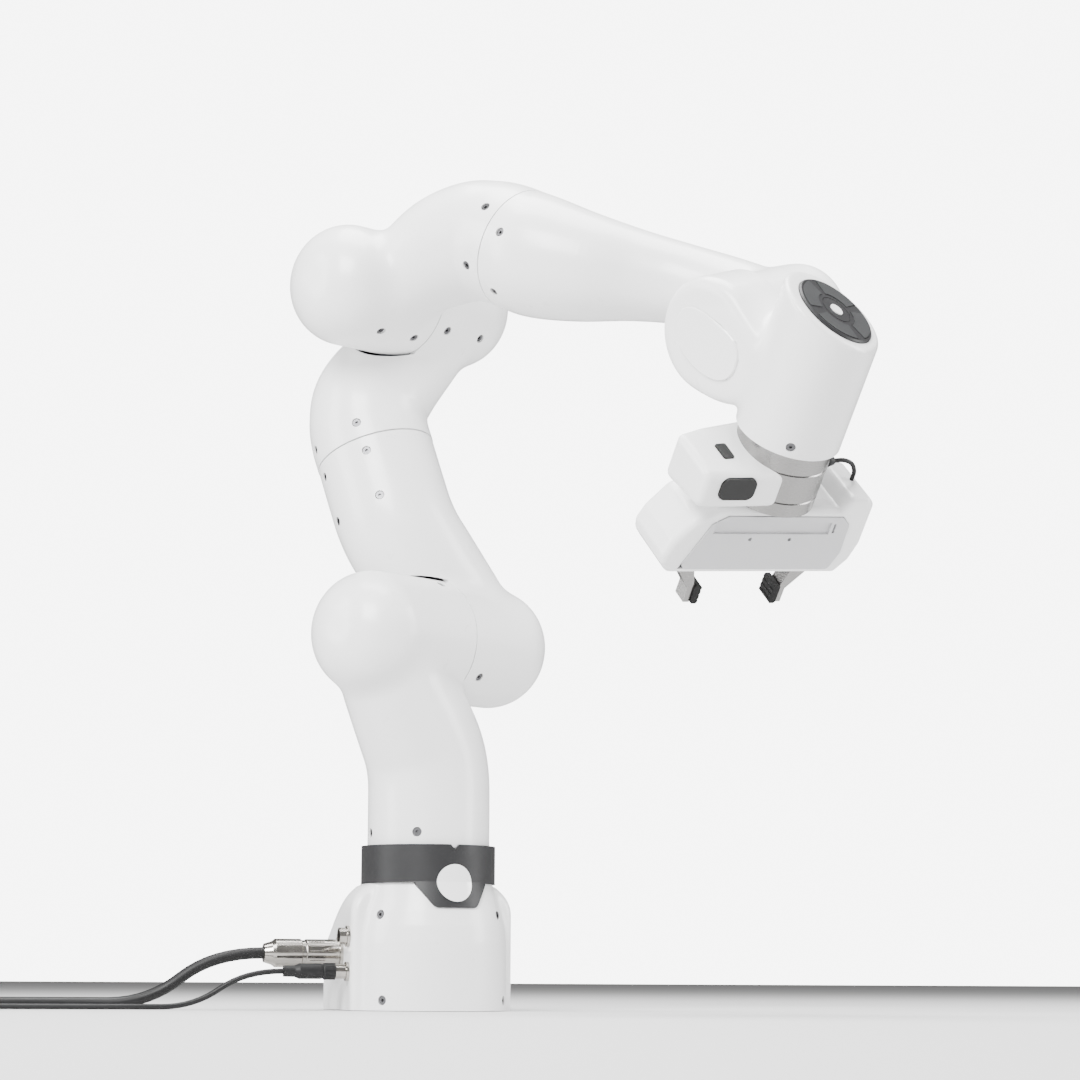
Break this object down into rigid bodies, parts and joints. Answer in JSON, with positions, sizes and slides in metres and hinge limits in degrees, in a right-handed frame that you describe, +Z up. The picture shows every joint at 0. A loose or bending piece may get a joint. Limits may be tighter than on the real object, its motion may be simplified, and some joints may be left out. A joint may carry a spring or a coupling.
{
  "type": "collaborative robot arm",
  "caption": "Seven-axis collaborative robot arm with rounded link casings, a guide grip, a control disc, a two-finger gripper and two cables.",
  "frame": {"origin": "where the joint-1 axis meets the underside of the base", "axes": "+Z up along the joint-1 axis, +X towards the badge on the base collar, -Y side carries the connectors; the arm is shown in its rest pose (joint values 0 are the pictured pose)"},
  "size_m": [0.6751, 0.779, 0.7495],
  "materials": {
    "white_shell": "satin white",
    "white_cover": "smooth gloss white",
    "machined_aluminium": "turned and brushed",
    "screw_steel": "zinc plated",
    "dark_grey_plastic": "satin dark grey",
    "key_grey": "satin grey",
    "black_button": "satin black",
    "nickel": "nickel plated",
    "black_moulding": "moulded",
    "cable_jacket": "smooth matt jacket",
    "black_rubber": "moulded",
    "light_grey_plate": "satin light grey",
    "drive_aluminium": "as machined",
    "drive_steel": "ground"
  },
  "bodies": {
    "base": {"base_plate": "machined_aluminium", "base_casing": "white_shell", "base_screws": "screw_steel", "collar_band": "dark_grey_plastic", "badge": "white_cover", "round_sockets": "nickel", "power_inlet": "nickel", "power_plug": "nickel", "signal_plug": "black_moulding", "power_cable": "cable_jacket", "signal_cable": "cable_jacket", "power_cable_coil": "cable_jacket", "signal_cable_coil": "cable_jacket", "power_far_plug": "black_moulding", "signal_far_plug": "black_moulding", "joint1_drive": "drive_aluminium"},
    "link_1": {"link1_casing": "white_shell", "link1_screws": "screw_steel", "joint1_output": "drive_steel", "joint2_drive": "drive_aluminium"},
    "link_2": {"link2_casing": "white_shell", "link2_screws": "screw_steel", "joint2_output": "drive_steel", "joint3_drive": "drive_aluminium"},
    "link_3": {"link3_casing": "white_shell", "link3_screws": "screw_steel", "joint3_output": "drive_steel", "joint4_drive": "drive_aluminium"},
    "link_4": {"link4_casing": "white_shell", "link4_screws": "screw_steel", "joint4_output": "drive_steel", "joint5_drive": "drive_aluminium"},
    "link_5": {"link5_casing": "white_shell", "link5_screws": "screw_steel", "joint5_output": "drive_steel", "joint6_drive": "drive_aluminium"},
    "link_6": {"link6_casing": "white_shell", "link6_screws": "screw_steel", "joint6_output": "drive_steel", "joint7_drive": "drive_aluminium", "wrist_cap_plate": "white_cover", "control_disc": "dark_grey_plastic"},
    "link_7": {"tool_flange": "machined_aluminium", "grip_housing": "white_shell", "hand_housing": "white_shell", "hand_front_plate": "light_grey_plate", "hand_drive": "machined_aluminium", "hand_lead": "cable_jacket", "hand_lead_plug": "black_moulding"},
    "finger_slide_left": {"finger_left": "machined_aluminium", "tip_left": "black_rubber"},
    "finger_slide_right": {"finger_right": "machined_aluminium", "tip_right": "black_rubber"},
    "keycap_up": {"key_up": "key_grey"},
    "keycap_right": {"key_right": "key_grey"},
    "keycap_down": {"key_down": "key_grey"},
    "keycap_left": {"key_left": "key_grey"},
    "keycap_centre": {"key_centre": "white_cover"},
    "guide_button": {"grip_button": "black_button"},
    "enabling_button": {"enable_button": "black_button"}
  },
  "joints": [
    {"name": "joint_1", "type": "hinge", "parent": "base", "child": "link_1", "pos_m": [0, 0, 0.333], "axis": [0, 0, 1], "range_deg": [-192, 140]},
    {"name": "joint_2", "type": "hinge", "parent": "link_1", "child": "link_2", "pos_m": [0, 0, 0.333], "axis": [0.4384, -0.8988, 0], "range_deg": [-70, 79.5]},
    {"name": "joint_3", "type": "hinge", "parent": "link_2", "child": "link_3", "pos_m": [-0.10409, -0.05077, 0.62701], "axis": [-0.3294, -0.1607, 0.9304], "range_deg": [-164.5, 167.5]},
    {"name": "joint_4", "type": "hinge", "parent": "link_3", "child": "link_4", "pos_m": [-0.03418, -0.01907, 0.65724], "axis": [0.4163, -0.9092, -0.0096], "range_deg": [-28, 131.7]},
    {"name": "joint_5", "type": "hinge", "parent": "link_4", "child": "link_5", "pos_m": [0.31468, 0.14155, 0.57504], "axis": [0.8276, 0.3833, -0.41], "range_deg": [-180, 147]},
    {"name": "joint_6", "type": "hinge", "parent": "link_5", "child": "link_6", "pos_m": [0.31468, 0.14155, 0.57504], "axis": [0.2796, -0.915, -0.291], "range_deg": [-45, 139]},
    {"name": "joint_7", "type": "hinge", "parent": "link_6", "child": "link_7", "pos_m": [0.37499, 0.17696, 0.52162], "axis": [-0.6724, 0.0297, -0.7396], "range_deg": [-231, 101]},
    {"name": "finger_left_slide", "type": "slide", "parent": "link_7", "child": "finger_slide_left", "axis": [0.0284, -0.9974, -0.0658], "range_m": [-0.0355, 0.004]},
    {"name": "finger_right_slide", "type": "slide", "parent": "link_7", "child": "finger_slide_right", "axis": [-0.0284, 0.9974, 0.0658], "range_m": [-0.0355, 0.004]},
    {"name": "key_right_press", "type": "slide", "parent": "link_6", "child": "keycap_right", "axis": [-0.7527, -0.2575, -0.6059], "range_m": [0, 0.0008], "stiffness_N_per_m": 900, "springref_m": -0.0006},
    {"name": "key_up_press", "type": "slide", "parent": "link_6", "child": "keycap_up", "axis": [-0.7527, -0.2575, -0.6059], "range_m": [0, 0.0008], "stiffness_N_per_m": 900, "springref_m": -0.0006},
    {"name": "key_left_press", "type": "slide", "parent": "link_6", "child": "keycap_left", "axis": [-0.7527, -0.2575, -0.6059], "range_m": [0, 0.0008], "stiffness_N_per_m": 900, "springref_m": -0.0006},
    {"name": "key_down_press", "type": "slide", "parent": "link_6", "child": "keycap_down", "axis": [-0.7527, -0.2575, -0.6059], "range_m": [0, 0.0008], "stiffness_N_per_m": 900, "springref_m": -0.0006},
    {"name": "key_centre_press", "type": "slide", "parent": "link_6", "child": "keycap_centre", "axis": [-0.7527, -0.2575, -0.6059], "range_m": [0, 0.0008], "stiffness_N_per_m": 900, "springref_m": -0.0006},
    {"name": "guide_button_press", "type": "slide", "parent": "link_7", "child": "guide_button", "axis": [-0.739, -0.0826, 0.6686], "range_m": [0, 0.001], "stiffness_N_per_m": 1500, "springref_m": -0.0008},
    {"name": "enabling_button_press", "type": "slide", "parent": "link_7", "child": "enabling_button", "axis": [-0.7777, -0.0052, -0.6286], "range_m": [0, 0.001], "stiffness_N_per_m": 1500, "springref_m": -0.0008}
  ],
  "couplings": [
    {"joint": "finger_right_slide", "follows": "finger_left_slide", "ratio": 1}
  ]
}
